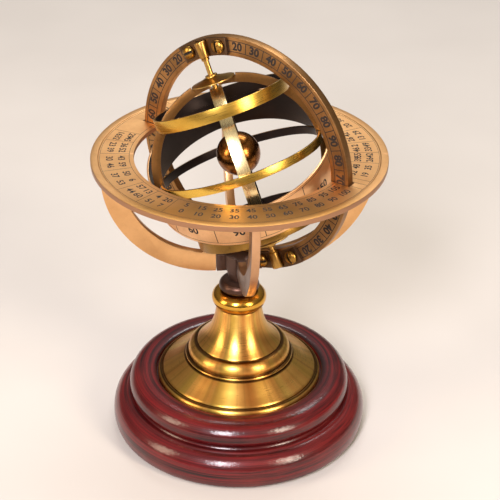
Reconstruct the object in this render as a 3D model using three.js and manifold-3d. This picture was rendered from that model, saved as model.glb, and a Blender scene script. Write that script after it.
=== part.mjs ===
// Armillary sphere on a turned wooden base. Millimetres, +Z up, resting on z = 0, axis of the base on x = y = 0.
import * as THREE from 'three';
import { mergeVertices } from 'three/addons/utils/BufferGeometryUtils.js';
import Module from 'manifold-3d';

const wasm = await Module();
wasm.setup();
const DEG = Math.PI / 180;

// Stand
const GAP = 0.3;
const ROD_R = 2;
const ROD_HOLE_R = ROD_R + GAP;
const FELT_TOP = 1.2;
const WOOD_BOTTOM = FELT_TOP + GAP;
const COUNTERBORE_R = 9;
const COUNTERBORE_TOP = 9.5;
const FOOT_BOTTOM = 28;
const HUB_HALF = 7;
const HUB_FOOT_HALF = 4.8;
const HUB_BOTTOM = 82.3;
const HUB_SHOULDER = 91;
const HUB_TOP = 97;
const HUB_SIDES = 8;
const STUB_WIDE = 4.2;
const ARM_TURN = 6.5;

// Horizon ring and the arms under it
const RING_TOP = 151;
const RING_OUTER = 70;
const RING_INNER = 49.7;
const RING_THICK = 2.7;
const LIP_INNER = 66.5;
const LIP_HIGH = 0.4;
const NOTCH_REACH = 59.2;
const ARM_THICK = 3.9;
const ARM_CENTRE_R = 11.5;
const ARM_CENTRE_Z = RING_TOP - 8.3;
const ARM_OUTER = 54.3;
const ARM_INNER = 44.3;

// Meridian ring: it stands behind the polar axle, in the plane of azimuth 145 degrees
const SPHERE_Z = 149.2;
const MERIDIAN_AZIMUTH = 145;
const POLE_TILT = 23.5;
const MERIDIAN_OUTER = 58.4;
const MERIDIAN_INNER = 49.2;
const MERIDIAN_FACE = -2.3;
const MERIDIAN_THICK = 4.2;
const STRAP_INNER = 49.8;
const STRAP_OUTER = 58.3;
const STRAP_HALF_ANGLE = 14.5;
const STRAP_THICK = 1.1;
const SCREW_ANGLE = 9.6;
const SCREW_RADIUS = 54;
const SCREW_HOLE_R = 1.5;
const SCREW_HEAD_R = 3.3;
const BLOCK_INNER = 48.2;
const BLOCK_OUTER = 57.4;
const BLOCK_R = 2.9;

// Cage of rings on the axle
const AXLE_R = 1.3;
const AXLE_HALF = 56.5;
const AXLE_HOLE_R = AXLE_R + GAP;
const BLOCK_BORE_R = AXLE_R + 0.08;
const CAGE_DROP = -2.4;
const CAGE_TURN = 40.9;
const COLURE_OUTER = 42.3;
const COLURE_INNER = 37.8;
const COLURE_THICK = 1.8;
const BAND_THICK = 1.2;
const STRIP_OUTER = 37.4;
const STRIP_WIDE = 6;
const NORTH = { outer: 32.5, low: -3, high: 3 };
const NORTH_RISE = 29.4;
const NORTH_LEAN = 2.9;
const EQUATOR = { outer: 39.8, low: -2, high: 2 };
const SOUTH = { outer: 32.2, low: -33.3, high: -28.2 };
const CAP_R = 10.5;
const CAP_SEAT = 40.2;
const ZODIAC_INNER = 43.1;
const ZODIAC_WIDE = 19;
const ZODIAC_SHIFT = -2;
const ZODIAC_NORMAL = new THREE.Vector3(-0.24012, -0.23188, 0.94264);
const BALL_R = 10.4;
const BALL_RISE = 1.7;

const part = new THREE.Group();
part.name = 'armillary_sphere';

const COLOURS = {
  ring: [0xd9a56c, 0.35, 0.9],
  meridian: [0xa87d4d, 0.45, 0.9],
  band: [0xc89a3c, 0.25, 1],
  colure: [0x9a6b35, 0.4, 0.9],
  dark: [0x3a2824, 0.4, 0.8],
  bead: [0xd8a437, 0.15, 1],
  foot: [0xc9963e, 0.3, 1],
  ball: [0x8a4f20, 0.25, 0.9],
  wood: [0x6b1a16, 0.2, 0],
  felt: [0x2c4a33, 0.95, 0],
  steel: [0x8d8f92, 0.4, 0.9],
};

function add(parent, name, geometry, look) {
  const [color, roughness, metalness] = COLOURS[look];
  const mesh = new THREE.Mesh(geometry, new THREE.MeshStandardMaterial({ color, roughness, metalness }));
  mesh.name = name;
  parent.add(mesh);
  return mesh;
}

function volumeSign(geometry) {
  const a = new THREE.Vector3();
  const b = new THREE.Vector3();
  const c = new THREE.Vector3();
  const at = geometry.attributes.position;
  const index = geometry.index.array;
  let volume = 0;
  for (let i = 0; i < index.length; i += 3) {
    a.fromBufferAttribute(at, index[i]);
    b.fromBufferAttribute(at, index[i + 1]);
    c.fromBufferAttribute(at, index[i + 2]);
    volume += a.dot(b.cross(c));
  }
  return Math.sign(volume);
}

// One closed skin with its faces outward
function skin(geometry) {
  geometry.deleteAttribute('normal');
  geometry.deleteAttribute('uv');
  const merged = mergeVertices(geometry, 1e-4);
  if (volumeSign(merged) < 0) {
    const index = merged.index.array;
    for (let i = 0; i < index.length; i += 3) {
      [index[i], index[i + 1]] = [index[i + 1], index[i]];
    }
  }
  merged.computeVertexNormals();
  return merged;
}

function solidOf(geometry) {
  const closed = skin(geometry);
  return new wasm.Manifold(new wasm.Mesh({
    numProp: 3,
    vertProperties: new Float32Array(closed.attributes.position.array),
    triVerts: new Uint32Array(closed.index.array),
  }));
}

function geometryOf(solid) {
  const mesh = solid.getMesh();
  const geometry = new THREE.BufferGeometry();
  geometry.setAttribute('position', new THREE.BufferAttribute(new Float32Array(mesh.vertProperties), 3));
  geometry.setIndex(new THREE.BufferAttribute(new Uint32Array(mesh.triVerts), 1));
  geometry.computeVertexNormals();
  return geometry;
}

function cut(geometry, ...tools) {
  return geometryOf(tools.reduce((solid, tool) => solid.subtract(solidOf(tool)), solidOf(geometry)));
}

function join(geometry, ...others) {
  return geometryOf(others.reduce((solid, other) => solid.add(solidOf(other)), solidOf(geometry)));
}

// Turned about Z from [radius, height] points; a profile off the axis is closed on itself
function turned(points, segments) {
  const loop = points.map(([r, z]) => new THREE.Vector2(r, z));
  if (points[0][0] > 0) {
    loop.push(loop[0].clone());
  }
  return skin(new THREE.LatheGeometry(loop, segments).rotateX(Math.PI / 2));
}

// A rounded run of profile points on a circle, from one angle to another
function arc(r, z, radius, from, to, steps) {
  return Array.from({ length: steps + 1 }, (_, i) => {
    const angle = (from + (to - from) * i / steps) * DEG;
    return [r + radius * Math.cos(angle), z + radius * Math.sin(angle)];
  });
}

function tube(inner, outer, low, high, segments) {
  return turned([[inner, low], [outer, low], [outer, high], [inner, high]], segments);
}

function rod(radius, low, high, segments) {
  return turned([[0, low], [radius, low], [radius, high], [0, high]], segments);
}

function box(x0, x1, y0, y1, z0, z1) {
  const geometry = new THREE.BoxGeometry(x1 - x0, y1 - y0, z1 - z0);
  return geometry.translate((x0 + x1) / 2, (y0 + y1) / 2, (z0 + z1) / 2);
}

// A flat outline in the XZ plane, given its thickness along Y
function plate(shape, y0, y1, curveSegments) {
  const geometry = new THREE.ExtrudeGeometry(shape, { depth: y1 - y0, bevelEnabled: false, curveSegments });
  return geometry.rotateX(Math.PI / 2).translate(0, y1, 0);
}

function sector(inner, outer, from, to) {
  const shape = new THREE.Shape();
  shape.absarc(0, 0, outer, from * DEG, to * DEG, false);
  shape.absarc(0, 0, inner, to * DEG, from * DEG, true);
  return shape;
}

// Base: felt, wood, and the tie rod with its nut and washer in the counterbore
add(part, 'felt_pad', tube(COUNTERBORE_R + 0.6, 58, 0, FELT_TOP, 48), 'felt');
add(part, 'wood_base', turned([
  [ROD_HOLE_R, COUNTERBORE_TOP],
  [COUNTERBORE_R, COUNTERBORE_TOP],
  [COUNTERBORE_R, WOOD_BOTTOM],
  [62.2, WOOD_BOTTOM],
  [63.5, 3],
  [64, 6.5],
  [63.8, 10],
  [62.9, 13],
  [61, 15.6],
  [58.4, 17.3],
  [55.8, 17.9],
  [54.4, 18.2],
  [53.8, 19.2],
  [54.3, 20.3],
  [55.3, 21.4],
  [55.5, 23.4],
  [54.8, 25.9],
  [53.1, 28.1],
  [50.6, 29.6],
  [47.6, 30.3],
  [44.6, 30.4],
  [42.3, 30],
  [41.8, 29.3],
  [41.8, FOOT_BOTTOM - GAP],
  [ROD_HOLE_R, FOOT_BOTTOM - GAP],
], 64), 'wood');
add(part, 'tie_rod', rod(ROD_R, 3, 89, 16), 'steel');
add(part, 'tie_washer', tube(ROD_HOLE_R, 7.5, COUNTERBORE_TOP - GAP - 1, COUNTERBORE_TOP - GAP, 24), 'steel');
add(part, 'tie_nut', tube(ROD_HOLE_R, 4.2, 4.6, COUNTERBORE_TOP - 2 * GAP - 1, 6), 'steel');

// Turned brass foot, hollow underneath
add(part, 'brass_foot', turned([
  [ROD_HOLE_R, 58],
  [8, 56.5],
  [11.5, 49],
  [16, 43],
  [23.5, 36.5],
  [35.5, FOOT_BOTTOM + 1],
  [35.5, FOOT_BOTTOM],
  [41.1, FOOT_BOTTOM],
  [41.1, 29.3],
  [39, 30.9],
  [38.6, 30.6],
  [38.2, 31.2],
  [27, 38.9],
  [26.5, 38.9],
  [26.9, 39.7],
  [26.4, 40.4],
  [25.3, 40.6],
  [25.6, 42.2],
  [24.8, 44.4],
  [22.8, 46.1],
  [20.7, 46.5],
  [20.9, 47],
  [16.9, 50.9],
  [14.1, 55.4],
  [12.3, 60.4],
  [11.4, 65],
  [11.1, 67.4],
  [ROD_HOLE_R, 67.4],
], 56), 'foot');

// Bead and cup of the stem
add(part, 'collar_bead', turned([
  [ROD_HOLE_R, 67.7],
  [10.4, 67.7],
  ...arc(9.1, 72, 4.4, -72, 90, 8),
  [7.2, 75.4],
  [6.6, 74.2],
  [ROD_HOLE_R, 74.2],
], 40), 'bead');
add(part, 'stem_cup', turned([
  [ROD_HOLE_R, 74.5],
  [6, 74.5],
  [6.4, 76.7],
  [8.8, 77],
  [9.9, 78],
  [10, 79.2],
  [9.5, 80.8],
  [8.2, 82],
  [ROD_HOLE_R, 82],
], 32), 'dark');

// Room that the meridian ring sweeps as it is tilted, in the frame of the tilted ring
const meridianRoom = turned([
  [MERIDIAN_INNER - 0.6, 0],
  [MERIDIAN_OUTER + 0.4, 0],
  [MERIDIAN_OUTER + 0.4, MERIDIAN_THICK + 0.8],
  [MERIDIAN_INNER - 0.6, MERIDIAN_THICK + 0.8],
], 144);
meridianRoom.rotateX(-Math.PI / 2).translate(0, MERIDIAN_FACE - MERIDIAN_THICK - 0.4, 0);
meridianRoom.rotateZ(MERIDIAN_AZIMUTH * DEG).translate(0, 0, SPHERE_Z);

// Hub: an eight-sided block, narrower at its foot, with four stubs for the arms and a slot for the meridian ring
const toCorner = 1 / Math.cos(Math.PI / HUB_SIDES);
const hubBlock = turned([
  [0, HUB_BOTTOM],
  [HUB_FOOT_HALF * toCorner, HUB_BOTTOM],
  [HUB_HALF * toCorner, HUB_SHOULDER],
  [HUB_HALF * toCorner, HUB_TOP],
  [0, HUB_TOP],
], HUB_SIDES).rotateZ(Math.PI / HUB_SIDES);
const stubs = box(-ARM_CENTRE_R + GAP, ARM_CENTRE_R - GAP, -STUB_WIDE / 2, STUB_WIDE / 2,
  ARM_CENTRE_Z - ARM_OUTER - 0.2, HUB_TOP);
const hub = join(hubBlock, stubs, stubs.clone().rotateZ(Math.PI / 2)).rotateZ(ARM_TURN * DEG);
add(part, 'cradle_hub', cut(hub, rod(ROD_HOLE_R, 80, 89.4, 16), meridianRoom.clone()), 'dark');

// Four flat arms curve up from the hub to the underside of the horizon ring
const armShape = new THREE.Shape();
const armTop = RING_TOP - RING_THICK - GAP;
const outerStart = Math.asin((armTop - ARM_CENTRE_Z) / ARM_OUTER);
const innerStart = Math.asin((armTop - ARM_CENTRE_Z) / ARM_INNER);
armShape.absarc(ARM_CENTRE_R, ARM_CENTRE_Z, ARM_OUTER, outerStart, -Math.PI / 2, true);
armShape.lineTo(ARM_CENTRE_R, ARM_CENTRE_Z - ARM_INNER);
armShape.absarc(ARM_CENTRE_R, ARM_CENTRE_Z, ARM_INNER, -Math.PI / 2, innerStart, false);
['right', 'rear', 'left', 'front'].forEach((side, k) => {
  const arm = plate(armShape, -ARM_THICK / 2, ARM_THICK / 2, 20).rotateZ((ARM_TURN + 90 * k) * DEG);
  add(part, `cradle_arm_${side}`, cut(arm, meridianRoom.clone()), 'ring');
});

// Horizon ring, with a raised lip and two notches that the meridian ring stands in
const ringBlank = turned([
  [RING_INNER, RING_TOP - RING_THICK],
  [RING_OUTER, RING_TOP - RING_THICK],
  [RING_OUTER, RING_TOP],
  [LIP_INNER, RING_TOP],
  [LIP_INNER, RING_TOP - LIP_HIGH],
  [RING_INNER, RING_TOP - LIP_HIGH],
], 96);
const notch = box(-NOTCH_REACH, NOTCH_REACH, MERIDIAN_FACE - MERIDIAN_THICK - 0.4, MERIDIAN_FACE + 0.4, 140, 160);
add(part, 'horizon_ring', cut(ringBlank, notch.rotateZ(MERIDIAN_AZIMUTH * DEG)), 'ring');

// Meridian ring and all it carries: local Z is the polar axis, local Y the normal of the ring
const tilted = new THREE.Group();
tilted.position.set(0, 0, SPHERE_Z);
tilted.rotation.set(0, POLE_TILT * DEG, MERIDIAN_AZIMUTH * DEG, 'ZYX');
part.add(tilted);

function screwSpot(angle) {
  return [SCREW_RADIUS * Math.sin(angle * DEG), SCREW_RADIUS * Math.cos(angle * DEG)];
}

// A pin along Y at a place in the XZ plane
function pinAlongY(radius, low, high, segments, x, z) {
  return rod(radius, low, high, segments).rotateX(-Math.PI / 2).translate(x, 0, z);
}

const meridianBlank = tube(MERIDIAN_INNER, MERIDIAN_OUTER, 0, MERIDIAN_THICK, 96);
meridianBlank.rotateX(-Math.PI / 2).translate(0, MERIDIAN_FACE - MERIDIAN_THICK, 0);
const meridianHoles = [SCREW_ANGLE, -SCREW_ANGLE, 180 - SCREW_ANGLE, 180 + SCREW_ANGLE].map((angle) => {
  const [x, z] = screwSpot(angle);
  return pinAlongY(SCREW_HOLE_R, -10, 0, 12, x, z);
});
add(tilted, 'meridian_ring', cut(meridianBlank, ...meridianHoles), 'meridian');

function slottedScrew() {
  const body = turned([
    [0, -5.6],
    [1.2, -5.6],
    [1.2, -0.6],
    [SCREW_HEAD_R, -0.6],
    [SCREW_HEAD_R, -0.2],
    [2.9, 0.6],
    [1.8, 1.2],
    [0, 1.5],
  ], 20);
  return cut(body, box(-4, 4, -0.6, 0.6, 0.2, 3)).rotateX(-Math.PI / 2);
}

[['top', 0], ['bottom', Math.PI]].forEach(([end, turn]) => {
  const pivot = new THREE.Group();
  pivot.rotation.y = turn;
  tilted.add(pivot);

  const strap = plate(
    sector(STRAP_INNER, STRAP_OUTER, 90 - STRAP_HALF_ANGLE, 90 + STRAP_HALF_ANGLE),
    MERIDIAN_FACE + GAP, MERIDIAN_FACE + GAP + STRAP_THICK, 8);
  const strapHoles = [SCREW_ANGLE, -SCREW_ANGLE].map((angle) => {
    const [x, z] = screwSpot(angle);
    return pinAlongY(SCREW_HOLE_R, -10, 5, 12, x, z);
  });
  const window = box(-BLOCK_R - GAP, BLOCK_R + GAP, -10, 5, 40, BLOCK_OUTER + GAP);
  add(pivot, `pivot_strap_${end}`, cut(strap, window, ...strapHoles), 'dark');

  // Bearing: a round tapered block, flat where it lies on the ring, with a blind bore for the axle
  const block = turned([
    [0, BLOCK_INNER],
    [1.9, BLOCK_INNER],
    [1.9, 49.4],
    [2.3, 49.6],
    [BLOCK_R, 57],
    [BLOCK_R - 0.4, BLOCK_OUTER],
    [0, BLOCK_OUTER],
  ], 32);
  const behind = box(-5, 5, -10, MERIDIAN_FACE + 0.2, 40, 70);
  add(pivot, `pivot_block_${end}`, cut(block, behind, rod(BLOCK_BORE_R, 40, AXLE_HALF + 0.3, 32)), 'band');

  // The left screw's slot lies along the ring, the right one's across it
  const leftward = end === 'top' ? SCREW_ANGLE : -SCREW_ANGLE;
  [['left', leftward, 0], ['right', -leftward, Math.PI / 2]].forEach(([side, angle, slotTurn]) => {
    const screw = add(pivot, `pivot_screw_${end}_${side}`, slottedScrew(), 'band');
    const [x, z] = screwSpot(angle);
    screw.position.set(x, 0, z);
    screw.rotation.y = angle * DEG + slotTurn;
  });
});

// Cage: turns on the polar axle; its own centre sits a little below the centre of the meridian ring
add(tilted, 'polar_axle', rod(AXLE_R, -AXLE_HALF, AXLE_HALF, 24), 'band');
const cage = new THREE.Group();
cage.position.set(0, 0, CAGE_DROP);
cage.rotation.z = CAGE_TURN * DEG;
tilted.add(cage);

// Shallow cones that hold the ends of the flat colure, one at each pole
[['top', 0], ['bottom', Math.PI]].forEach(([end, turn]) => {
  const cap = add(cage, `polar_cap_${end}`, turned([
    [AXLE_HOLE_R, CAP_SEAT],
    [CAP_R, CAP_SEAT],
    [CAP_R, CAP_SEAT + 0.5],
    [4, CAP_SEAT + 2.3],
    [2.9, CAP_SEAT + 2.5],
    [2.9, CAP_SEAT + 3.4],
    [AXLE_HOLE_R, CAP_SEAT + 3.4],
  ], 32), 'band');
  cap.rotation.y = turn;
});

function band({ outer, low, high }, room = 0) {
  return tube(outer - BAND_THICK - room, outer + room, low - room, high + room, 64);
}
function tipNorth(geometry) {
  return geometry.rotateX(NORTH_LEAN * DEG).translate(0, 0, NORTH_RISE);
}
add(cage, 'band_north', tipNorth(band(NORTH)), 'band');
add(cage, 'band_equator', band(EQUATOR), 'band');
add(cage, 'band_south', band(SOUTH), 'band');

// The flat colure is two half rings that end under the caps, with the bands let into them
const seats = [
  tube(COLURE_INNER - 1, EQUATOR.outer + GAP, EQUATOR.low - GAP, EQUATOR.high + GAP, 64),
  tipNorth(band(NORTH, GAP)),
  band(SOUTH, GAP),
  rod(CAP_R + GAP, CAP_SEAT - GAP, CAP_SEAT + 10, 32),
  rod(CAP_R + GAP, -CAP_SEAT - 10, GAP - CAP_SEAT, 32),
];
const endAngle = 90 - Math.asin(1.8 / COLURE_INNER) / DEG;
[['east', 0], ['west', Math.PI]].forEach(([side, turn]) => {
  const half = plate(
    sector(COLURE_INNER, COLURE_OUTER, -endAngle, endAngle), -COLURE_THICK / 2, COLURE_THICK / 2, 40);
  half.rotateZ(turn);
  add(cage, `colure_flat_${side}`, cut(half, ...seats.map((seat) => seat.clone())), 'colure');
});

// The strip colure is a hoop in the YZ plane, drilled at the poles for the axle
const hoop = tube(STRIP_OUTER - BAND_THICK, STRIP_OUTER, -STRIP_WIDE / 2, STRIP_WIDE / 2, 80).rotateY(Math.PI / 2);
add(cage, 'colure_strip', cut(hoop, rod(AXLE_HOLE_R, -45, 45, 16)), 'band');

// Zodiac band: a wide thin hoop slanting across the cage
const toCage = tilted.quaternion.clone().multiply(cage.quaternion).invert();
const zodiacAxis = ZODIAC_NORMAL.clone().normalize().applyQuaternion(toCage);
const zodiac = add(cage, 'zodiac_band', tube(
  ZODIAC_INNER, ZODIAC_INNER + 1, -ZODIAC_WIDE / 2, ZODIAC_WIDE / 2, 80), 'ring');
zodiac.quaternion.setFromUnitVectors(new THREE.Vector3(0, 0, 1), zodiacAxis);
zodiac.position.copy(zodiacAxis).multiplyScalar(ZODIAC_SHIFT);

// Ball on the axle, drilled through
const ballEdge = Math.asin(AXLE_HOLE_R / BALL_R) / DEG;
const ball = add(cage, 'centre_ball', turned(arc(0, 0, BALL_R, -90 + ballEdge, 90 - ballEdge, 14), 32), 'ball');
ball.position.z = BALL_RISE - CAGE_DROP;

export default part;
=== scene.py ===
from math import asin, cos, degrees, pi, radians, sin
import bmesh
import bpy
from mathutils import Matrix, Vector


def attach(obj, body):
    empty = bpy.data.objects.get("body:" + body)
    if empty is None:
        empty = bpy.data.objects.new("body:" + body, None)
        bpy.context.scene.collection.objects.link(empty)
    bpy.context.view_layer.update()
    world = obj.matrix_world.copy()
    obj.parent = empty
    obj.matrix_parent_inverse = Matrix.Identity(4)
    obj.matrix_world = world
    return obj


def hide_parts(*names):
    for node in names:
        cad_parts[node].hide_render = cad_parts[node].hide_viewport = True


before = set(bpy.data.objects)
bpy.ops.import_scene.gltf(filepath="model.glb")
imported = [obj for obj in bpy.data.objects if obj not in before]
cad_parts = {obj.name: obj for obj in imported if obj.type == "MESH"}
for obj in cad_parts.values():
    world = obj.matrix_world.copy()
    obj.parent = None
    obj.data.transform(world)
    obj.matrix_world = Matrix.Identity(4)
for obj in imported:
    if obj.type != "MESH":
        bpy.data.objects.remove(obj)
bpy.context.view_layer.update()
MM = 0.001

# Driving sizes in millimetres, as the solids have them
RING_TOP = 151
RING_FACE = 150.6
RING_BOTTOM = 148.3
RING_INNER = 49.7
RING_OUTER = 70
ARM_CENTRE_R = 11.5
ARM_CENTRE_Z = 142.7
ARM_OUTER = 54.3
ARM_INNER = 44.3
SPHERE_Z = 149.2
MERIDIAN_AZIMUTH = 145
POLE_TILT = 23.5
MERIDIAN_INNER = 49.2
MERIDIAN_MIDDLE = 54
MERIDIAN_OUTER = 58.38
MERIDIAN_FACE = -2.3
MERIDIAN_BACK = -6.5
CAGE_DROP = -2.4
CAGE_TURN = 40.9
ARM_TURN = 6.5
BAND_THICK = 1.2
SLOT_ROOM = 0.4
SCREW_RADIUS = 54
SCREW_ANGLE = 9.6
AXLE_HALF = 56.5
AXLE_HOLE_R = 1.6
NORTH_RISE = 29.4
NORTH_LEAN = 2.9
BALL_R = 10.4
BALL_RISE = 1.7
ZODIAC_SHIFT = -2
ZODIAC_OUTER = 44.1
ZODIAC_NORMAL = Vector((-0.24012, -0.23188, 0.94264)).normalized()

# Places of the assemblies. In each, Z is the axis its rings turn round
HOME = Matrix.Identity(4)
TILTED = (Matrix.Translation((0, 0, SPHERE_Z)) @ Matrix.Rotation(radians(MERIDIAN_AZIMUTH), 4, "Z")
          @ Matrix.Rotation(radians(POLE_TILT), 4, "Y"))
FACE = TILTED @ Matrix(((-1, 0, 0, 0), (0, 0, 1, 0), (0, 1, 0, 0), (0, 0, 0, 1)))
FACE_BELOW = FACE @ Matrix.Rotation(pi, 4, "Z")
TILTED_BELOW = TILTED @ Matrix.Rotation(pi, 4, "Y")
CAGE = TILTED @ Matrix.Translation((0, 0, CAGE_DROP)) @ Matrix.Rotation(radians(CAGE_TURN), 4, "Z")
FLAT = CAGE @ Matrix.Rotation(pi / 2, 4, "X")
HOOP = CAGE @ Matrix.Rotation(pi / 2, 4, "Y")
NORTH_PLACE = CAGE @ Matrix.Translation((0, 0, NORTH_RISE)) @ Matrix.Rotation(radians(NORTH_LEAN), 4, "X")
CAGE_BELOW = CAGE @ Matrix.Rotation(pi, 4, "Y")
zodiac_local = (CAGE.to_3x3().inverted() @ ZODIAC_NORMAL).normalized()
ZODIAC = (CAGE @ Matrix.Translation(zodiac_local * ZODIAC_SHIFT)
          @ Vector((0, 0, 1)).rotation_difference(zodiac_local).to_matrix().to_4x4())


# ---------------------------------------------------------------- materials

def new_material(name):
    material = bpy.data.materials.new(name)
    material.use_nodes = True
    tree = material.node_tree
    shader = tree.nodes["Principled BSDF"]
    return material, tree, shader


def node(tree, kind, **settings):
    made = tree.nodes.new(kind)
    for key, value in settings.items():
        setattr(made, key, value)
    return made


def put(tree, value, socket):
    """Links an output, or sets a plain value."""
    if isinstance(value, bpy.types.NodeSocket):
        tree.links.new(value, socket)
    else:
        socket.default_value = value


def maths(tree, operation, *values):
    made = node(tree, "ShaderNodeMath", operation=operation)
    for socket, value in zip(made.inputs, values):
        put(tree, value, socket)
    return made.outputs[0]


def mix(tree, factor, first, second):
    made = node(tree, "ShaderNodeMix", data_type="RGBA")
    put(tree, factor, made.inputs[0])
    put(tree, first, made.inputs[6])
    put(tree, second, made.inputs[7])
    return made.outputs[2]


def ramp(tree, value, low, high, out_low=0.0, out_high=1.0):
    made = node(tree, "ShaderNodeMapRange", clamp=True)
    for socket, number in zip(made.inputs, (value, low, high, out_low, out_high)):
        put(tree, number, socket)
    return made.outputs[0]


def local_coords(tree, place):
    """Object coordinates brought to a piece's own frame, in millimetres."""
    back = place.inverted()
    turned_back = node(tree, "ShaderNodeMapping", vector_type="POINT")
    turned_back.inputs["Location"].default_value = back.translation
    turned_back.inputs["Rotation"].default_value = back.to_euler("XYZ")
    turned_back.inputs["Scale"].default_value = (1000, 1000, 1000)
    coords = node(tree, "ShaderNodeTexCoord")
    tree.links.new(coords.outputs["Object"], turned_back.inputs["Vector"])
    return turned_back.outputs["Vector"]


def noise(tree, vector, scale, detail=3.0, roughness=0.5):
    made = node(tree, "ShaderNodeTexNoise")
    put(tree, vector, made.inputs["Vector"])
    made.inputs["Scale"].default_value = scale
    made.inputs["Detail"].default_value = detail
    made.inputs["Roughness"].default_value = roughness
    return made.outputs["Fac"]


def round_coords(tree, vector, along=0.02):
    """(radius, height, a little of the angle): noise on these runs in rings, as turning marks do."""
    parts = node(tree, "ShaderNodeSeparateXYZ")
    tree.links.new(vector, parts.inputs[0])
    x, y, z = parts.outputs
    squares = maths(tree, "ADD", maths(tree, "MULTIPLY", x, x), maths(tree, "MULTIPLY", y, y))
    radius = maths(tree, "SQRT", squares)
    joined = node(tree, "ShaderNodeCombineXYZ")
    tree.links.new(radius, joined.inputs[0])
    tree.links.new(z, joined.inputs[1])
    tree.links.new(maths(tree, "MULTIPLY", maths(tree, "ADD", x, y), along), joined.inputs[2])
    return joined.outputs[0]


def bump(tree, height, strength, distance):
    made = node(tree, "ShaderNodeBump")
    made.inputs["Strength"].default_value = strength
    made.inputs["Distance"].default_value = distance
    tree.links.new(height, made.inputs["Height"])
    return made.outputs["Normal"]


def metal(name, bright, deep, rough, place=HOME, grain="turned", marks=0.25, cloud=0.05, aged=0.5,
          edges=True, metallic=1.0, streaked=0.0):
    """Brass and bronze: a clouded patina, fine working marks, and edges rubbed brighter."""
    material, tree, shader = new_material(name)
    coords = local_coords(tree, place)
    if grain == "turned":
        lines = noise(tree, round_coords(tree, coords), 5.0, 4.0, 0.7)
    elif grain == "flat":
        stretched = node(tree, "ShaderNodeMapping", vector_type="POINT")
        stretched.inputs["Scale"].default_value = (0.12, 3.0, 3.0)
        tree.links.new(coords, stretched.inputs["Vector"])
        lines = noise(tree, stretched.outputs[0], 1.6, 4.0, 0.7)
    else:
        lines = noise(tree, coords, 1.2, 5.0, 0.7)
    clouds = noise(tree, coords, cloud, 4.0, 0.6)
    spots = noise(tree, coords, 0.7, 3.0, 0.6)
    patina = maths(tree, "MULTIPLY", ramp(tree, clouds, 0.38, 0.68), aged)
    patina = maths(tree, "ADD", patina, maths(tree, "MULTIPLY", ramp(tree, spots, 0.55, 0.75), aged * 0.35))
    colour = mix(tree, patina, bright, deep)
    faint = tuple(0.82 * c for c in bright[:3]) + (1,)
    colour = mix(tree, maths(tree, "MULTIPLY", ramp(tree, lines, 0.45, 0.7), marks), colour, faint)
    if edges:
        worn = node(tree, "ShaderNodeNewGeometry").outputs["Pointiness"]
        light = tuple(min(1, 1.25 * c + 0.08) for c in bright[:3]) + (1,)
        colour = mix(tree, ramp(tree, worn, 0.52, 0.6, 0, 0.6), colour, light)
    tree.links.new(colour, shader.inputs["Base Color"])
    shader.inputs["Metallic"].default_value = metallic
    shader.inputs["Anisotropic"].default_value = streaked
    if streaked:
        around = node(tree, "ShaderNodeTangent", direction_type="RADIAL", axis="Z")
        tree.links.new(around.outputs[0], shader.inputs["Tangent"])
        shader.inputs["Anisotropic Rotation"].default_value = 0.25
    roughness = maths(tree, "ADD", ramp(tree, lines, 0.3, 0.7, rough - 0.06, rough + 0.06),
                      maths(tree, "MULTIPLY", patina, 0.12))
    tree.links.new(roughness, shader.inputs["Roughness"])
    tree.links.new(bump(tree, lines, marks, 0.00004), shader.inputs["Normal"])
    return material


def colour(red, green, blue):
    """Screen colour 0-255 to the linear value a shader takes."""
    def linear(c):
        c = c / 255
        return c / 12.92 if c <= 0.04045 else ((c + 0.055) / 1.055) ** 2.4
    return (linear(red), linear(green), linear(blue), 1)


RING_TAN = colour(224, 174, 118)
RING_DEEP = colour(168, 116, 64)
ring_brass = metal("ring_brass", RING_TAN, RING_DEEP, 0.38, marks=0.2, aged=0.4)


def age_ring(material):
    """Painted shade and reflection: the upright rim is browner than the face, and the face turns a darker
    gold towards the front, a painted reflection that is partly patina.
    """
    tree = material.node_tree
    base = tree.nodes["Principled BSDF"].inputs["Base Color"]
    fresh = base.links[0].from_socket
    parts = node(tree, "ShaderNodeSeparateXYZ")
    tree.links.new(local_coords(tree, HOME), parts.inputs[0])
    slant = node(tree, "ShaderNodeSeparateXYZ")
    tree.links.new(node(tree, "ShaderNodeNewGeometry").outputs["Normal"], slant.inputs[0])
    # The rim is darker because it stands upright: painted shade. The darker gold on the front of the face is
    # a painted reflection, partly patina.
    level = ramp(tree, maths(tree, "ABSOLUTE", slant.outputs[2]), 0.2, 0.8)
    front = maths(tree, "MULTIPLY", ramp(tree, parts.outputs[1], -36, -54), level)
    tree.links.new(mix(tree, maths(tree, "MULTIPLY", front, 0.75),
                       mix(tree, level, colour(170, 128, 98), fresh), colour(146, 104, 44)), base)


age_ring(ring_brass)
arm_brass = metal("arm_brass", RING_TAN, RING_DEEP, 0.34, grain="cast", marks=0.12, aged=0.4)


def dark_sides(material):
    """Painted shade: faces that look along X are darker, which on the front arm are its flat sides."""
    tree = material.node_tree
    base = tree.nodes["Principled BSDF"].inputs["Base Color"]
    fresh = base.links[0].from_socket
    slant = node(tree, "ShaderNodeSeparateXYZ")
    tree.links.new(node(tree, "ShaderNodeNewGeometry").outputs["Normal"], slant.inputs[0])
    side = ramp(tree, maths(tree, "ABSOLUTE", slant.outputs[0]), 0.6, 0.9, 0, 0.8)
    tree.links.new(mix(tree, side, fresh, colour(84, 54, 38)), base)


# The front arm has its own, pinker copy of the arm brass, with painted shade on its flat sides.
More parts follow.
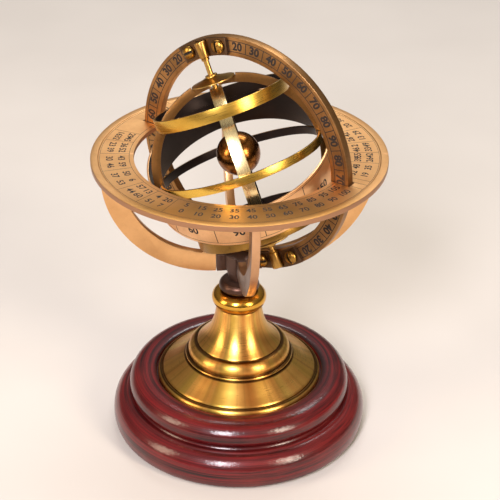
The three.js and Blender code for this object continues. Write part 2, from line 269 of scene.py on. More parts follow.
front_arm_brass = metal("front_arm_brass", colour(206, 160, 120), RING_DEEP, 0.32, grain="cast", marks=0.12)
dark_sides(front_arm_brass)
zodiac_brass = metal("zodiac_brass", colour(240, 190, 138), colour(176, 122, 76), 0.38, ZODIAC, marks=0.2)
meridian_brass = metal("meridian_brass", colour(168, 124, 76), colour(84, 58, 32), 0.38, FACE, marks=0.3,
                       aged=0.7)
band_brass = metal("band_brass", colour(220, 178, 78), colour(158, 112, 34), 0.26, CAGE, marks=0.12,
                   aged=0.45)
hoop_brass = metal("hoop_brass", colour(250, 224, 164), colour(196, 152, 76), 0.26, HOOP, marks=0.3,
                   aged=0.3)
flat_brass = metal("flat_brass", colour(140, 98, 52), colour(74, 46, 22), 0.34, FLAT, marks=0.3, aged=0.8)
# A darker copy of the band brass for the south band: painted shade.
band_brass_painted_shade = metal("band_brass_painted_shade", colour(150, 112, 50), colour(66, 46, 24), 0.3, CAGE, marks=0.12,
                    aged=0.7)
cap_brass = metal("cap_brass", colour(190, 148, 70), colour(112, 80, 32), 0.3, CAGE, marks=0.4, aged=0.6)
pivot_brass = metal("pivot_brass", colour(178, 134, 62), colour(96, 64, 28), 0.3, grain="cast", marks=0.06,
                    aged=0.6)
# Painted shade, near black, for the faces inside the hoops.
painted_shade_inside = metal("painted_shade_inside", colour(44, 32, 28), colour(20, 14, 13), 0.42, CAGE, marks=0.2, aged=0.6,
                    edges=False, metallic=0.7)
dark_bronze = metal("dark_bronze", colour(88, 62, 50), colour(38, 25, 21), 0.34, grain="cast", marks=0.12,
                    aged=0.6, metallic=0.85)
bead_brass = metal("bead_brass", colour(228, 172, 68), colour(150, 98, 28), 0.18, marks=0.12, aged=0.3)
foot_brass = metal("foot_brass", colour(244, 196, 104), colour(176, 122, 46), 0.3, marks=0.25, aged=0.4,
                   streaked=0.7)


def work_foot(material):
    """Painted reflections as orange, olive and brown streaks that run from the middle outward, and painted
    shade in the grooves of the turning.
    """
    tree = material.node_tree
    base = tree.nodes["Principled BSDF"].inputs["Base Color"]
    tone = base.links[0].from_socket
    parts = node(tree, "ShaderNodeSeparateXYZ")
    tree.links.new(local_coords(tree, HOME), parts.inputs[0])
    x, y, z = parts.outputs
    angle = maths(tree, "ARCTAN2", y, x)
    round_once = node(tree, "ShaderNodeCombineXYZ")
    tree.links.new(maths(tree, "COSINE", angle), round_once.inputs[0])
    tree.links.new(maths(tree, "SINE", angle), round_once.inputs[1])
    broad = noise(tree, round_once.outputs[0], 2.2, 2.0)
    fine = noise(tree, round_once.outputs[0], 16.0, 3.0)
    # Painted reflections: broad orange and olive streaks, and fine brown ones, round the foot.
    tone = mix(tree, ramp(tree, broad, 0.42, 0.62, 0, 0.65), tone, colour(212, 128, 62))
    tone = mix(tree, ramp(tree, broad, 0.5, 0.34, 0, 0.6), tone, colour(186, 150, 52))
    tone = mix(tree, ramp(tree, fine, 0.5, 0.68, 0, 0.35), tone, colour(150, 96, 40))
    # Painted shade: dark lines along the grooves of the turning.
    for height, width in ((30.65, 0.4), (38.65, 0.45), (40.25, 0.4), (46.35, 0.4)):
        away = maths(tree, "ABSOLUTE", maths(tree, "SUBTRACT", z, height))
        tone = mix(tree, ramp(tree, away, width, 0.12, 0, 0.9), tone, colour(62, 34, 16))
    tree.links.new(tone, base)


work_foot(foot_brass)
ball_bronze = metal("ball_bronze", colour(168, 108, 48), colour(70, 36, 18), 0.2, grain="cast", cloud=0.12,
                    aged=0.8, edges=False)
strap_brass = metal("strap_brass", colour(92, 66, 40), colour(42, 28, 18), 0.3, grain="cast", aged=0.6,
                    metallic=0.9)
steel = metal("steel", colour(150, 150, 152), colour(96, 94, 92), 0.4, grain="cast", aged=0.4)
# Ink for the engraved print. The same dark finish is also the painted shade at the bottoms of the screw
# slots.
ink_and_painted_shade = metal("ink_and_painted_shade", colour(26, 16, 11), colour(14, 9, 6), 0.7, grain="cast", marks=0.1, aged=0.5,
            edges=False, metallic=0.0)


def lacquered_wood():
    material, tree, shader = new_material("lacquered_wood")
    coords = local_coords(tree, HOME)
    rings = round_coords(tree, coords, 0.012)
    grain = noise(tree, rings, 0.55, 6.0, 0.62)
    fine = noise(tree, rings, 4.0, 3.0, 0.6)
    clouds = noise(tree, coords, 0.03, 3.0, 0.5)
    tone = mix(tree, ramp(tree, grain, 0.36, 0.62), colour(26, 3, 6), colour(106, 13, 17))
    tone = mix(tree, ramp(tree, clouds, 0.42, 0.66, 0, 0.45), tone, colour(112, 30, 26))
    tone = mix(tree, ramp(tree, fine, 0.46, 0.66, 0, 0.8), tone, colour(18, 1, 3))
    tree.links.new(tone, shader.inputs["Base Color"])
    tree.links.new(ramp(tree, grain, 0.3, 0.7, 0.3, 0.42), shader.inputs["Roughness"])
    shader.inputs["Coat Weight"].default_value = 0.7
    shader.inputs["Coat Roughness"].default_value = 0.12
    shader.inputs["Specular IOR Level"].default_value = 0.2
    tree.links.new(bump(tree, noise(tree, rings, 1.2, 4.0, 0.6), 0.25, 0.0001), shader.inputs["Normal"])
    ripple = bump(tree, noise(tree, coords, 0.55, 3.0, 0.6), 0.35, 0.0004)
    tree.links.new(ripple, shader.inputs["Coat Normal"])
    return material


def felt():
    material, tree, shader = new_material("felt")
    coords = local_coords(tree, HOME)
    fibres = noise(tree, coords, 3.0, 5.0, 0.8)
    tree.links.new(mix(tree, ramp(tree, fibres, 0.35, 0.65), colour(22, 52, 34), colour(48, 88, 58)),
                   shader.inputs["Base Color"])
    shader.inputs["Roughness"].default_value = 0.95
    shader.inputs["Sheen Weight"].default_value = 0.5
    tree.links.new(bump(tree, fibres, 0.6, 0.0002), shader.inputs["Normal"])
    return material


wood = lacquered_wood()
green_felt = felt()


# ---------------------------------------------------------------- shapes

def make(name, verts, faces, materials, place, sharp=32):
    """A closed mesh in millimetres, put in its place, with faces outward and smooth between sharp edges."""
    mesh = bpy.data.meshes.new(name)
    mesh.from_pydata([Vector(v) for v in verts], [], faces)
    work = bmesh.new()
    work.from_mesh(mesh)
    bmesh.ops.remove_doubles(work, verts=work.verts, dist=1e-5)
    bmesh.ops.recalc_face_normals(work, faces=work.faces)
    work.to_mesh(mesh)
    work.free()
    mesh.transform(Matrix.Scale(MM, 4) @ place)
    for material in materials:
        mesh.materials.append(material)
    piece = bpy.data.objects.new(name, mesh)
    bpy.context.scene.collection.objects.link(piece)
    shade(piece, sharp)
    return piece


def shade(piece, sharp=32):
    piece.data.polygons.foreach_set("use_smooth", [True] * len(piece.data.polygons))
    piece.data.set_sharp_from_angle(angle=radians(sharp))


def flow(points, steps=6):
    """A smooth run through profile points."""
    ends = [points[0]] + list(points) + [points[-1]]
    out = []
    for i in range(1, len(ends) - 2):
        a, b, c, d = (Vector(p) for p in ends[i - 1:i + 3])
        for k in range(steps):
            t = k / steps
            out.append(0.5 * ((2 * b) + (c - a) * t + (2 * a - 5 * b + 4 * c - d) * t * t
                              + (3 * b - a - 3 * c + d) * t ** 3))
    return [tuple(p) for p in out] + [tuple(points[-1])]


def rounded(points, radius, steps=3):
    """A closed profile with each corner rounded."""
    out = []
    for i, point in enumerate(points):
        here = Vector(point)
        before = Vector(points[i - 1]) - here
        after = Vector(points[(i + 1) % len(points)]) - here
        reach = min(radius, 0.45 * before.length, 0.45 * after.length)
        first = here + before.normalized() * reach
        last = here + after.normalized() * reach
        for k in range(steps + 1):
            t = k / steps
            out.append(tuple((1 - t) ** 2 * first + 2 * t * (1 - t) * here + t * t * last))
    return out


def turned(name, profile, materials, place=HOME, steps=160, start=0, sweep=360, sharp=32):
    """A profile of (radius, height) swept round Z. A part sweep is closed at its ends."""
    full = sweep == 360
    count = steps if full else steps + 1
    verts = []
    for k in range(count):
        angle = radians(start + sweep * k / steps)
        verts += [(r * cos(angle), r * sin(angle), z) for r, z in profile]
    n = len(profile)
    on_axis = profile[0][0] < 1e-6
    pairs = [(j, j + 1) for j in range(n - 1)] + ([] if on_axis else [(n - 1, 0)])
    faces = []
    for k in range(steps):
        here = k * n
        there = ((k + 1) % count) * n
        faces += [(here + a, here + b, there + b, there + a) for a, b in pairs]
    if not full:
        faces += [tuple(range(n)), tuple(steps * n + j for j in reversed(range(n)))]
    return make(name, verts, faces, materials, place, sharp)


def tube_profile(inner, outer, low, high, radius=0.25):
    return rounded([(inner, low), (outer, low), (outer, high), (inner, high)], radius)


def darken_inside(piece, place):
    """Faces that look towards the middle of a hoop take its second material, the painted shade of the hoop's
    inside.
    """
    axis = (place.to_3x3() @ Vector((0, 0, 1))).normalized()
    middle = place.translation * MM
    for face in piece.data.polygons:
        away = face.center - middle
        away -= axis * away.dot(axis)
        if face.normal.dot(away.normalized()) < -0.3:
            face.material_index = 1


def plate(name, outline, low, high, materials, place, bevel=0.3):
    """A flat outline given its thickness along Z, with its edges eased."""
    n = len(outline)
    verts = [(x, y, low) for x, y in outline] + [(x, y, high) for x, y in outline]
    faces = [tuple(range(n)), tuple(range(n, 2 * n))]
    faces += [(i, (i + 1) % n, n + (i + 1) % n, n + i) for i in range(n)]
    piece = make(name, verts, faces, materials, place)
    if bevel:
        ease(piece, bevel)
    return piece


def ease(piece, width, sharp=32):
    edge = piece.modifiers.new("ease", "BEVEL")
    edge.width = width * MM
    edge.segments = 2
    edge.limit_method = "ANGLE"
    edge.angle_limit = radians(40)
    settle(piece, sharp)


def settle(piece, sharp=32):
    """Turns the modifiers into plain mesh."""
    depsgraph = bpy.context.evaluated_depsgraph_get()
    mesh = bpy.data.meshes.new_from_object(piece.evaluated_get(depsgraph))
    piece.modifiers.clear()
    piece.data = mesh
    shade(piece, sharp)


def combine(piece, operation, others):
    """Adds or takes away other shapes, which are then gone."""
    for other in others:
        step = piece.modifiers.new("combine", "BOOLEAN")
        step.operation = operation
        step.solver = "EXACT"
        step.object = other
    settle(piece)
    for other in others:
        bpy.data.objects.remove(other)


def carve(piece, *cutters):
    combine(piece, "DIFFERENCE", cutters)


def block(name, low, high, materials, place, bevel=0.4):
    (x0, y0, z0), (x1, y1, z1) = low, high
    return plate(name, [(x0, y0), (x1, y0), (x1, y1), (x0, y1)], z0, z1, materials, place, bevel)


def arc_points(x, y, radius, start, end, steps):
    return [(x + radius * cos(radians(start + (end - start) * k / steps)),
             y + radius * sin(radians(start + (end - start) * k / steps))) for k in range(steps + 1)]


def joined(name, pieces):
    """Several pieces of one body and finish made into one mesh."""
    work = bmesh.new()
    materials = list(pieces[0].data.materials)
    for piece in pieces:
        work.from_mesh(piece.data)
    mesh = bpy.data.meshes.new(name)
    work.to_mesh(mesh)
    work.free()
    for material in materials:
        mesh.materials.append(material)
    for piece in pieces:
        bpy.data.objects.remove(piece)
    made = bpy.data.objects.new(name, mesh)
    bpy.context.scene.collection.objects.link(made)
    return made


def stands_for(piece, body, slot, *nodes):
    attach(piece, body)
    if nodes:
        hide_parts(*nodes)


# ---------------------------------------------------------------- repeats, by geometry nodes

def spread_tree():
    """A shape set on each vertex of a mesh and turned about Z to face away from the axis."""
    tree = bpy.data.node_groups.new("spread_round", "GeometryNodeTree")
    face = tree.interface
    face.new_socket("Geometry", in_out="INPUT", socket_type="NodeSocketGeometry")
    face.new_socket("Shape", in_out="INPUT", socket_type="NodeSocketObject")
    face.new_socket("Size", in_out="INPUT", socket_type="NodeSocketVector")
    face.new_socket("Material", in_out="INPUT", socket_type="NodeSocketMaterial")
    face.new_socket("Geometry", in_out="OUTPUT", socket_type="NodeSocketGeometry")
    given = tree.nodes.new("NodeGroupInput")
    spot = tree.nodes.new("GeometryNodeInputPosition")
    split = tree.nodes.new("ShaderNodeSeparateXYZ")
    tree.links.new(spot.outputs[0], split.inputs[0])
    angle = tree.nodes.new("ShaderNodeMath")
    angle.operation = "ARCTAN2"
    tree.links.new(split.outputs[1], angle.inputs[0])
    tree.links.new(split.outputs[0], angle.inputs[1])
    turn = tree.nodes.new("ShaderNodeCombineXYZ")
    tree.links.new(angle.outputs[0], turn.inputs[2])
    shape = tree.nodes.new("GeometryNodeObjectInfo")
    tree.links.new(given.outputs["Shape"], shape.inputs["Object"])
    spread = tree.nodes.new("GeometryNodeInstanceOnPoints")
    tree.links.new(given.outputs["Geometry"], spread.inputs["Points"])
    tree.links.new(shape.outputs["Geometry"], spread.inputs["Instance"])
    tree.links.new(turn.outputs[0], spread.inputs["Rotation"])
    tree.links.new(given.outputs["Size"], spread.inputs["Scale"])
    real = tree.nodes.new("GeometryNodeRealizeInstances")
    tree.links.new(spread.outputs[0], real.inputs[0])
    paint = tree.nodes.new("GeometryNodeSetMaterial")
    tree.links.new(real.outputs[0], paint.inputs["Geometry"])
    tree.links.new(given.outputs["Material"], paint.inputs["Material"])
    result = tree.nodes.new("NodeGroupOutput")
    tree.links.new(paint.outputs[0], result.inputs[0])
    return tree


SPREAD = spread_tree()


def spread_round(name, shape, spots, size, material, place):
    """Sets a shape on (radius, angle, height) spots round an axis, as one mesh."""
    mesh = bpy.data.meshes.new(name)
    mesh.from_pydata([(r * cos(radians(a)), r * sin(radians(a)), z) for r, a, z in spots], [], [])
    piece = bpy.data.objects.new(name, mesh)
    bpy.context.scene.collection.objects.link(piece)
    modifier = piece.modifiers.new("spread", "NODES")
    modifier.node_group = SPREAD
    sockets = {item.name: item.identifier for item in SPREAD.interface.items_tree if item.in_out == "INPUT"}
    modifier[sockets["Shape"]] = shape
    modifier[sockets["Size"]] = size
    modifier[sockets["Material"]] = material
    depsgraph = bpy.context.evaluated_depsgraph_get()
    result = bpy.data.meshes.new_from_object(piece.evaluated_get(depsgraph))
    piece.modifiers.clear()
    result.transform(Matrix.Scale(MM, 4) @ place)
    piece.data = result
    shade(piece)
    return piece


def unit_cube():
    mesh = bpy.data.meshes.new("tick_shape")
    work = bmesh.new()
    bmesh.ops.create_cube(work, size=1)
    work.to_mesh(mesh)
    work.free()
    made = bpy.data.objects.new("tick_shape", mesh)
    bpy.context.scene.collection.objects.link(made)
    return made


TICK = unit_cube()


# ---------------------------------------------------------------- numbers, engraved and filled

def number_mesh(text, height, bold):
    """Vertices and faces of a number, centred, lying in XY; bold widens its strokes."""
    curve = bpy.data.curves.new("number", "FONT")
    curve.body = text
    curve.size = height / 0.73
    curve.align_x = "CENTER"
    curve.align_y = "CENTER"
    curve.resolution_u = 3
    curve.extrude = 0.02
    curve.offset = bold
    holder = bpy.data.objects.new("number", curve)
    bpy.context.scene.collection.objects.link(holder)
    depsgraph = bpy.context.evaluated_depsgraph_get()
    mesh = bpy.data.meshes.new_from_object(holder.evaluated_get(depsgraph))
    verts = [tuple(v.co) for v in mesh.vertices]
    faces = [tuple(f.vertices) for f in mesh.polygons]
    bpy.data.objects.remove(holder)
    return verts, faces


def numbers(name, labels, height, wrap, place, bold=0.1):
    """Numbers bent to a ring; wrap takes the angle, across and up of a point to its place."""
    verts = []
    faces = []
    for text, angle, *rest in labels:
        points, polygons = number_mesh(text, height, bold)
        first = len(verts)
        verts += [wrap(angle, x, y, z, *rest) for x, y, z in points]
        faces += [tuple(first + i for i in face) for face in polygons]
    return make(name, verts, faces, [ink_and_painted_shade], place)


# ---------------------------------------------------------------- stand

wood_base = turned("turned_base", [(2.3, 9.5), (9, 9.5), (9, 1.5)] + flow([
    (61.8, 1.5), (63.2, 2.4), (64, 6), (63.9, 9.6), (63, 12.8), (61.2, 15.4), (59, 17),
    (57.4, 17.6)]) + flow([
        (57, 18.2), (56.2, 18.5), (55.2, 18.4)], 4) + flow([
            (54.2, 18.1), (53.7, 18.9), (53.9, 20)], 4) + flow([
                (54.6, 20.6), (55.4, 22), (55.4, 24), (54.6, 26.4), (52.6, 28.6), (49.8, 29.9),
                (46.6, 30.4),
                (43.6, 30.3), (42.2, 29.8)]) + [
                    (41.8, 29.2), (41.8, 27.7), (2.3, 27.7)], [wood], steps=192, sharp=40)
stands_for(wood_base, "stand", "wood", "wood_base")

foot = turned("turned_foot", flow([
    (8, 56.5), (11.5, 49), (16, 43), (23.5, 36.5), (35.5, 29)], 3) + [(35.5, 28), (40.8, 28), (41.1, 28.3)]
    + flow([(41.1, 29), (40.6, 30), (39.3, 30.9)], 4)
    + [(38.9, 30.5), (38.5, 30.5), (38.3, 31.2)]
    + flow([(38.1, 31.5), (34, 34.1), (30.4, 36.6), (27.2, 38.7)], 4)
    + [(26.3, 38.5), (26.1, 38.9)]
    + flow([(26.7, 39.1), (27, 39.6), (26.7, 40.1)], 4)
    + [(25.8, 40.3), (25.5, 40.1), (25.2, 40.4)]
    + flow([(25.4, 41), (25.5, 42.6), (24.6, 44.6), (22.9, 46), (21.1, 46.4)])
    + [(20.5, 46.2), (20.3, 46.5)]
    + flow([(20.8, 46.9), (20.6, 47.3), (18.4, 49.3), (16.2, 51.8), (14.3, 55), (12.8, 58.8), (11.8, 63),
            (11.4, 66.2), (11.1, 67.4)])
    + [(2.3, 67.4), (2.3, 58)], [foot_brass], steps=192, sharp=26)
stands_for(foot, "stand", "foot_brass", "brass_foot")

bead = turned("stem_bead", [(2.3, 67.7), (10.2, 67.7)] + arc_points(9.1, 72, 4.4, -72, 96, 24) + flow([
    (7.8, 76), (7, 75.2), (6.4, 74.2)], 4) + [(2.3, 74.2)], [bead_brass], steps=128)
stands_for(bead, "stand", "bead_brass", "collar_bead")

cup = turned("stem_knob", [(2.3, 74.5)] + flow([
    (6, 74.5), (6.4, 76.4), (8.6, 77), (9.7, 77.9), (9.95, 79.2), (9.5, 80.6), (8.6, 81.6), (8, 82)]) + [
        (2.3, 82)], [dark_bronze], steps=96)
stands_for(cup, "stand", "dark_bronze", "stem_cup")

AT_ARMS = Matrix.Rotation(radians(ARM_TURN), 4, "Z")


def meridian_slot():
    """The room that the meridian ring needs as it is tilted."""
    low = MERIDIAN_BACK - SLOT_ROOM
    high = MERIDIAN_FACE + SLOT_ROOM
    return turned("slot", [(48.6, low), (58.8, low), (58.8, high), (48.6, high)], [ink_and_painted_shade], FACE, steps=240)


EIGHT_SIDED = AT_ARMS @ Matrix.Rotation(pi / 8, 4, "Z")
hub = turned("arm_hub", [(0, 82.3), (5.2, 82.3), (7.57, 91), (7.57, 97), (0, 97)], [dark_bronze],
             EIGHT_SIDED, steps=8)
ease(hub, 0.5)
stubs = [block("stub", (-11.2, -2.1, 88.2), (11.2, 2.1, 97), [dark_bronze], AT_ARMS @ turn, 0.3)
         for turn in (HOME, Matrix.Rotation(pi / 2, 4, "Z"))]
combine(hub, "UNION", stubs)
carve(hub, meridian_slot())
stands_for(hub, "stand", "dark_bronze", "cradle_hub")

arm_top = RING_BOTTOM - 0.3 - ARM_CENTRE_Z
arm_outline = (
    arc_points(ARM_CENTRE_R, ARM_CENTRE_Z, ARM_OUTER, degrees(asin(arm_top / ARM_OUTER)), -90, 60)
    + arc_points(ARM_CENTRE_R, ARM_CENTRE_Z, ARM_INNER, -90, degrees(asin(arm_top / ARM_INNER)), 60))
UPRIGHT = Matrix.Rotation(pi / 2, 4, "X")
for k, side in enumerate(("right", "rear", "left", "front")):
    place = Matrix.Rotation(radians(ARM_TURN + 90 * k), 4, "Z") @ UPRIGHT
    brass = front_arm_brass if side == "front" else arm_brass
    arm = plate(f"ring_arm_{side}", arm_outline, -1.95, 1.95, [brass], place, 0.35)
    if side in ("right", "rear"):
        carve(arm, meridian_slot())
    stands_for(arm, "stand", "antique_brass", f"cradle_arm_{side}")

# ---------------------------------------------------------------- horizon ring

ring = turned("flat_ring", rounded([
    (RING_INNER, RING_BOTTOM), (RING_OUTER, RING_BOTTOM), (RING_OUTER, RING_TOP), (66.5, RING_TOP),
    (66.2, RING_FACE), (RING_INNER, RING_FACE)], 0.3),
    [ring_brass], steps=240)


def notches():
    """The two notches of the flat ring that the upright ring stands in."""
    return block("notches", (-59.2, MERIDIAN_BACK - SLOT_ROOM, 140), (59.2, MERIDIAN_FACE + SLOT_ROOM, 160),
                 [ink_and_painted_shade], Matrix.Rotation(radians(MERIDIAN_AZIMUTH), 4, "Z"), 0)


carve(ring, notches())
stands_for(ring, "stand", "antique_brass", "horizon_ring")

FACE_Z = RING_FACE + 0.01
circles = [turned("circle", [(r - 0.09, FACE_Z - 0.02), (r + 0.09, FACE_Z - 0.02), (r + 0.09, FACE_Z),
                             (r - 0.09, FACE_Z)], [ink_and_painted_shade], steps=240) for r in (51.8, 65.6)]
ring_circles = joined("ring_circles", circles)
carve(ring_circles, notches())
stands_for(ring_circles, "stand", "antique_brass")

CELLS = [12.5, 26, 41, 56, 71, 86, 101, 116, 131, 157, 167, 180, 196, 213, 225.5, 238.5,
         328, 332, 335.5, 352, 362]
ring_ticks = spread_round("ring_ticks", TICK, [(58.7, a, FACE_Z - 0.02) for a in CELLS],
                          (13.8, 0.2, 0.06), ink_and_painted_shade, HOME)
carve(ring_ticks, notches())
stands_for(ring_ticks, "stand", "antique_brass")


def on_ring(angle, x, y, z, radius):
    """Tops of the numbers point to the middle of the ring."""
    r = radius - y
    a = radians(angle) + x / radius
    return (r * cos(a), r * sin(a), FACE_Z + z - 0.02)


ring_labels = []
for k, (start, end) in enumerate(zip(CELLS, CELLS[1:] + [372.5])):
    if end - start < 9 or start in (131, 238.5):
        continue
    for row, radius in enumerate((61.2, 55.6)):
        for half in (0.3, 0.72):
            number = (7 * k + 13 * row + int(40 * half)) % 60 + 1
            ring_labels.append((str(number), start + (end - start) * half, radius))
for row, radius in enumerate((60.8, 55)):
    ring_labels += [(str(10 * j + 5 * row), 245 + 7.6 * j, radius) for j in range(11)]
ring_numbers = numbers("ring_numbers", ring_labels, 3.3, on_ring, HOME)
stands_for(ring_numbers, "stand", "antique_brass")

# ---------------------------------------------------------------- meridian ring

meridian = turned("upright_ring", rounded([
    (MERIDIAN_INNER, MERIDIAN_BACK), (MERIDIAN_OUTER, MERIDIAN_BACK), (MERIDIAN_OUTER, MERIDIAN_FACE),
    (MERIDIAN_INNER, MERIDIAN_FACE)], 0.3),
    [meridian_brass], FACE, steps=240)
stands_for(meridian, "meridian", "meridian_brass", "meridian_ring")

SCALE_Z = MERIDIAN_FACE + 0.01
scale_lines = [turned("line", [(r - 0.18, SCALE_Z - 0.02), (r + 0.18, SCALE_Z - 0.02), (r + 0.18, SCALE_Z),
                               (r - 0.18, SCALE_Z)], [ink_and_painted_shade], FACE, steps=240) for r in (51.4, 56.6)]
meridian_lines = joined("upright_lines", scale_lines)
stands_for(meridian_lines, "meridian", "meridian_brass")
DIVISIONS = [90 + side * step for side in (1, -1) for step in range(15, 166, 10)]
meridian_ticks = spread_round("upright_ticks", TICK,
                              [(MERIDIAN_MIDDLE, a, SCALE_Z - 0.02) for a in DIVISIONS],
                              (5.2, 0.42, 0.06), ink_and_painted_shade, FACE)
stands_for(meridian_ticks, "meridian", "meridian_brass")


def on_meridian(angle, x, y, z):
    """Tops of the numbers point outward."""
    r = MERIDIAN_MIDDLE + y
    a = radians(angle) - x / MERIDIAN_MIDDLE
    return (r * cos(a), r * sin(a), SCALE_Z + z - 0.02)


degrees_round = [(str(step if step <= 90 else 180 - step), 90 + side * step)
                 for side in (1, -1) for step in range(20, 161, 10)]
meridian_numbers = numbers("upright_numbers", degrees_round, 3.9, on_meridian, FACE, 0.22)
stands_for(meridian_numbers, "meridian", "meridian_brass")


def slotted_screw(slot_turn):
    """A round-head screw along Z, its slot turned from the line to the middle of the ring."""
    head = turned("screw_shape", [(0, -3), (1.2, -3), (1.2, 0), (3.2, 0), (3.3, 0.15), (3.3, 0.4)] + flow([
        (3.25, 0.5), (2.9, 1.15), (2, 1.75), (1, 2.08), (0, 2.15)], 4), [pivot_brass], steps=48)
    across = Matrix.Rotation(slot_turn, 4, "Z")
    carve(head, block("slot", (-4, -0.62, 0.8), (4, 0.62, 3), [pivot_brass], across, 0))
    head.data.transform(Matrix.Scale(1 / MM, 4))
    return head


for side, sign, slot_turn in (("left", 1, pi / 2), ("right", -1, 0)):
    angles = (90 + SCREW_ANGLE * sign, 270 - SCREW_ANGLE * sign)
    screw = slotted_screw(slot_turn)
    screws = spread_round(f"round_head_screws_{side}", screw,
                          [(SCREW_RADIUS, angle, -0.65) for angle in angles], (1, 1, 1), pivot_brass, FACE)
    stands_for(screws, "meridian", "band_brass", f"pivot_screw_top_{side}", f"pivot_screw_bottom_{side}")
    # A thin dark sheet at the bottom of each screw slot: painted shade.
    long, wide = (5.6, 1.16) if slot_turn == 0 else (1.16, 5.6)
    slot_shade_sheets = spread_round(f"screw_slots_{side}", TICK, [(SCREW_RADIUS, angle, 0.2) for angle in angles],
                         (long, wide, 0.1), ink_and_painted_shade, FACE)
    stands_for(slot_shade_sheets, "meridian", "band_brass")
    bpy.data.objects.remove(screw)

for end, place, along in (("top", FACE, TILTED), ("bottom", FACE_BELOW, TILTED_BELOW)):
    strap = turned(f"dark_strap_{end}", rounded([
        (49.8, MERIDIAN_FACE + 0.1), (58.3, MERIDIAN_FACE + 0.1), (58.3, -0.9), (49.8, -0.9)], 0.25),
        [strap_brass], place, steps=40, start=75.5, sweep=29)
    carve(strap, block("window", (-3.2, 40, -10), (3.2, 57.7, 5), [ink_and_painted_shade], place, 0))
    stands_for(strap, "meridian", "dark_bronze", f"pivot_strap_{end}")
    bearing = turned(f"axle_block_{end}", [
        (0, 48.2), (1.8, 48.2), (1.9, 48.3), (1.9, 49.3), (2.3, 49.7), (2.85, 56.8), (2.7, 57.2), (2.4, 57.4),
        (0, 57.4)], [pivot_brass], along, steps=64)
    carve(bearing, block("back", (-5, -10, 40), (5, MERIDIAN_FACE + 0.1, 70), [pivot_brass], along, 0),
          turned("bore", [(0, 40), (1.38, 40), (1.38, 56.8), (0, 56.8)], [pivot_brass], along, steps=48))
    stands_for(bearing, "meridian", "band_brass", f"pivot_block_{end}")

# ---------------------------------------------------------------- cage

axle = turned("pole_rod", [
    (0, -AXLE_HALF), (1.15, -AXLE_HALF), (1.3, 0.2 - AXLE_HALF), (1.3, AXLE_HALF - 0.2), (1.15, AXLE_HALF),
    (0, AXLE_HALF)], [cap_brass], TILTED, steps=48)
stands_for(axle, "cage", "band_brass", "polar_axle")
for end, place in (("top", CAGE), ("bottom", CAGE_BELOW)):
    cap = turned(f"pole_cone_{end}", [
        (AXLE_HOLE_R, 40.2), (10.3, 40.2), (10.5, 40.35), (10.45, 40.7)] + flow([
            (10.2, 40.85), (7.2, 41.55), (5, 42.1), (4, 42.5)], 4) + [
                (3, 42.7), (2.9, 42.9), (2.9, 43.4), (2.7, 43.6), (AXLE_HOLE_R, 43.6)],
        [cap_brass], place, steps=96)
    stands_for(cap, "cage", "band_brass", f"polar_cap_{end}")

BANDS = {
    "north": (32.5, -3, 3, NORTH_PLACE),
    "equator": (39.8, -2, 2, CAGE),
    "south": (32.2, -33.3, -28.2, CAGE),
}
for name, (outer, low, high, place) in BANDS.items():
    # The south band takes the darker copy of the band brass, its painted shade.
    hoop = turned(f"hoop_{name}", tube_profile(outer - BAND_THICK, outer, low, high),
                  [band_brass_painted_shade if name == "south" else band_brass, painted_shade_inside], place, steps=192)
    # The faces towards the middle of the hoop take painted shade.
    darken_inside(hoop, place)
    stands_for(hoop, "cage", "band_brass", f"band_{name}")


def seat(outer, low, high, place, room=0.3):
    return turned("seat", [(outer - BAND_THICK - room, low - room), (outer + room, low - room),
                           (outer + room, high + room), (outer - BAND_THICK - room, high + room)],
                  [painted_shade_inside], place, steps=120)


end_angle = 90 - degrees(asin(1.8 / 37.8))
for side, start in (("east", -end_angle), ("west", 180 - end_angle)):
    half = turned(f"flat_half_{side}", tube_profile(37.8, 42.3, -0.9, 0.9), [flat_brass], FLAT, steps=96,
                  start=start, sweep=2 * end_angle)
    carve(half, *(seat(*sizes) for sizes in BANDS.values()),
          *(turned("cap_room", [(0, 39.9), (10.8, 39.9), (10.8, 50), (0, 50)], [flat_brass], at, steps=64)
            for at in (CAGE, CAGE_BELOW)))
    stands_for(half, "cage", "colure_brass", f"colure_flat_{side}")

strip = turned("pole_hoop", tube_profile(37.4 - BAND_THICK, 37.4, -3, 3), [hoop_brass, painted_shade_inside], HOOP,
               steps=192)
darken_inside(strip, HOOP)
carve(strip, turned("hole", [(0, -45), (1.6, -45), (1.6, 45), (0, 45)], [painted_shade_inside], CAGE, steps=32))
stands_for(strip, "cage", "band_brass", "colure_strip")

wide = turned("wide_hoop", tube_profile(43.1, 44.1, -9.5, 9.5, 0.22), [zodiac_brass, painted_shade_inside], ZODIAC,
              steps=192)
darken_inside(wide, ZODIAC)
stands_for(wide, "cage", "zodiac_brass", "zodiac_band")
wide_lines = joined("wide_lines", [turned("line", [(44.08, z - 0.1), (44.12, z - 0.1), (44.12, z + 0.1),
                                                   (44.08, z + 0.1)], [ink_and_painted_shade], ZODIAC, steps=192)
                                   for z in (-8, 8)])
stands_for(wide_lines, "cage", "zodiac_brass")
wide_ticks = spread_round("wide_ticks", TICK, [(ZODIAC_OUTER, 30 * k + 1, 0) for k in range(12)],
                          (0.05, 0.36, 16), ink_and_painted_shade, ZODIAC)
stands_for(wide_ticks, "cage", "zodiac_brass")

def on_wide(angle, x, y, z):
    a = radians(angle) + x / ZODIAC_OUTER
    r = ZODIAC_OUTER + z
    return (r * cos(a), r * sin(a), y - 2)


wide_numbers = numbers("wide_numbers", [(str(30 * k + 30), 30 * k + 16) for k in range(12)], 4.2, on_wide,
                       ZODIAC, 0.16)
stands_for(wide_numbers, "cage", "zodiac_brass")

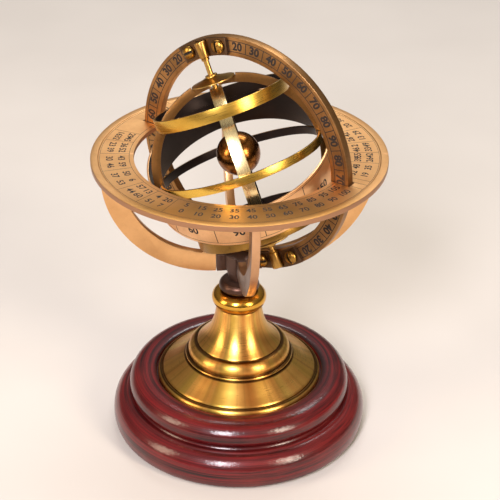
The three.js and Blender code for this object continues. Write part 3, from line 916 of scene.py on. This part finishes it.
BALL = CAGE @ Matrix.Translation((0, 0, BALL_RISE - CAGE_DROP))
edge = degrees(asin(AXLE_HOLE_R / BALL_R))
ball = turned("small_ball", arc_points(0, 0, BALL_R, -90 + edge, 90 - edge, 48), [ball_bronze], BALL,
              steps=96)
stands_for(ball, "cage", "ball_bronze", "centre_ball")

bpy.data.objects.remove(TICK)

HIDDEN = {"felt_pad": green_felt, "tie_rod": steel, "tie_washer": steel, "tie_nut": steel}
for name, material in HIDDEN.items():
    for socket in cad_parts[name].material_slots:
        socket.material = material

# ---------------------------------------------------------------- floor, light and camera


def stage_material():
    material, tree, shader = new_material("floor")
    coords = local_coords(tree, HOME)
    tone = mix(tree, noise(tree, coords, 0.01, 2.0), colour(196, 190, 183), colour(208, 202, 195))
    tree.links.new(tone, shader.inputs["Base Color"])
    shader.inputs["Roughness"].default_value = 0.8
    return material


floor_mesh = bpy.data.meshes.new("floor")
floor_mesh.from_pydata([(-3, -3, 0), (3, -3, 0), (3, 3, 0), (-3, 3, 0)], [], [(0, 1, 2, 3)])
floor_mesh.materials.append(stage_material())
floor = bpy.data.objects.new("floor", floor_mesh)
bpy.context.scene.collection.objects.link(floor)

world = bpy.data.worlds.new("soft_room")
world.use_nodes = True
sky = world.node_tree
direction = node(sky, "ShaderNodeSeparateXYZ")
sky.links.new(node(sky, "ShaderNodeTexCoord").outputs["Generated"], direction.inputs[0])
height = ramp(sky, direction.outputs[2], -0.1, 0.9)
tone = mix(sky, height, colour(84, 68, 54), colour(206, 200, 194))
sky.links.new(tone, sky.nodes["Background"].inputs["Color"])
sky.nodes["Background"].inputs["Strength"].default_value = 0.55
bpy.context.scene.world = world


def soft_light(name, spot, target, width, height, power, tint=(1, 1, 1)):
    data = bpy.data.lights.new(name, "AREA")
    data.shape = "RECTANGLE"
    data.size = width
    data.size_y = height
    data.energy = power
    data.color = tint
    lamp = bpy.data.objects.new(name, data)
    lamp.location = spot
    lamp.rotation_euler = (Vector(target) - Vector(spot)).to_track_quat("-Z", "Y").to_euler()
    bpy.context.scene.collection.objects.link(lamp)


soft_light("key", (-0.28, -0.95, 0.85), (0, 0, 0.08), 0.26, 0.5, 17, (0.97, 0.93, 1))
soft_light("side", (0.75, -0.75, 0.6), (0, 0, 0.08), 0.26, 0.6, 10, (1, 0.86, 0.7))
soft_light("left", (-0.95, -0.35, 0.5), (0, 0, 0.08), 0.3, 0.6, 5, (1, 0.82, 0.6))
soft_light("top", (0.1, 0.6, 1.1), (0, 0, 0.1), 0.7, 0.4, 8)

PITCH = radians(30.539)
YAW = radians(0.4524)
ROLL = radians(-0.4344)
forward = Vector((sin(YAW) * cos(PITCH), cos(YAW) * cos(PITCH), -sin(PITCH)))
right = Vector((cos(YAW), -sin(YAW), 0))
down = forward.cross(right)
across = cos(ROLL) * right + sin(ROLL) * down
below = -sin(ROLL) * right + cos(ROLL) * down
camera_data = bpy.data.cameras.new("camera")
camera_data.sensor_width = 36
camera_data.lens = 1574.95 * 36 / 500
camera_data.clip_start = 0.01
camera = bpy.data.objects.new("camera", camera_data)
aim = Matrix((across, -below, -forward)).transposed().to_4x4()
camera.matrix_world = Matrix.Translation((0, -0.6605, 0.4879)) @ aim
bpy.context.scene.collection.objects.link(camera)
bpy.context.scene.camera = camera
bpy.context.scene.view_settings.view_transform = "Standard"
